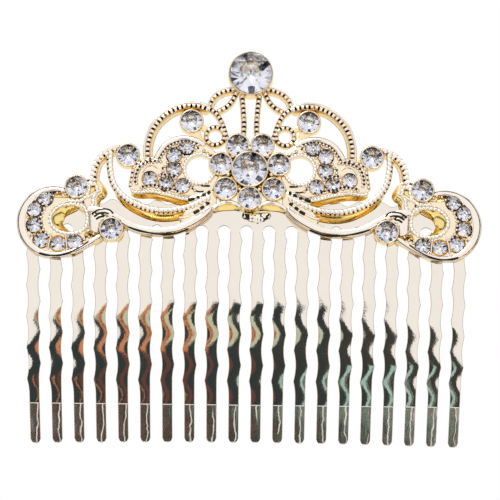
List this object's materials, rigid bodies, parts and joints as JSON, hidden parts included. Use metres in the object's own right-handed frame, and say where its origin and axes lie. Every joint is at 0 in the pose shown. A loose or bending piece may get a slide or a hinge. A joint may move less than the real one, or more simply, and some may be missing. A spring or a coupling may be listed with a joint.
{
  "type": "decorative hair comb",
  "caption": "Gilt metal hair comb with long wavy curved teeth and a pierced, stone-set scrollwork ornament soldered to its spine.",
  "frame": {"origin": "on the surface that the tooth tips stand on, below the middle of the piece's box", "axes": "+X to the right in the front view, +Y from the jewelled front to the back, +Z from the tooth tips up to the crown stone"},
  "size_m": [0.0832, 0.0086, 0.0712],
  "materials": {
    "comb_plate": "pale gold plate, mirror polished",
    "gilt_casting": "pale gold plate over a beaded casting, glossy",
    "solder": "plated solder, glossy and uneven",
    "crystal": "clear cut glass with a foiled back"
  },
  "bodies": {
    "root": {"tooth_comb": "comb_plate", "filigree_casting": "gilt_casting", "solder_center": "solder", "solder_left": "solder", "solder_right": "solder", "crown_stone": "crystal", "center_stone": "crystal", "petal_stone_1": "crystal", "petal_stone_2": "crystal", "petal_stone_3": "crystal", "petal_stone_4": "crystal", "petal_stone_5": "crystal", "petal_stone_6": "crystal", "petal_stone_7": "crystal", "single_stone_right_1": "crystal", "single_stone_right_2": "crystal", "single_stone_right_3": "crystal", "single_stone_right_4": "crystal", "single_stone_left_1": "crystal", "single_stone_left_2": "crystal", "single_stone_left_3": "crystal", "single_stone_left_4": "crystal", "wing_stone_right_1": "crystal", "wing_stone_right_2": "crystal", "wing_stone_right_3": "crystal", "wing_stone_right_4": "crystal", "wing_stone_right_5": "crystal", "wing_stone_right_6": "crystal", "wing_stone_left_1": "crystal", "wing_stone_left_2": "crystal", "wing_stone_left_3": "crystal", "wing_stone_left_4": "crystal", "wing_stone_left_5": "crystal", "wing_stone_left_6": "crystal", "scroll_stone_right_1": "crystal", "scroll_stone_right_2": "crystal", "scroll_stone_right_3": "crystal", "scroll_stone_right_4": "crystal", "scroll_stone_right_5": "crystal", "scroll_stone_right_6": "crystal", "scroll_stone_left_1": "crystal", "scroll_stone_left_2": "crystal", "scroll_stone_left_3": "crystal", "scroll_stone_left_4": "crystal", "scroll_stone_left_5": "crystal", "scroll_stone_left_6": "crystal"}
  },
  "joints": []
}
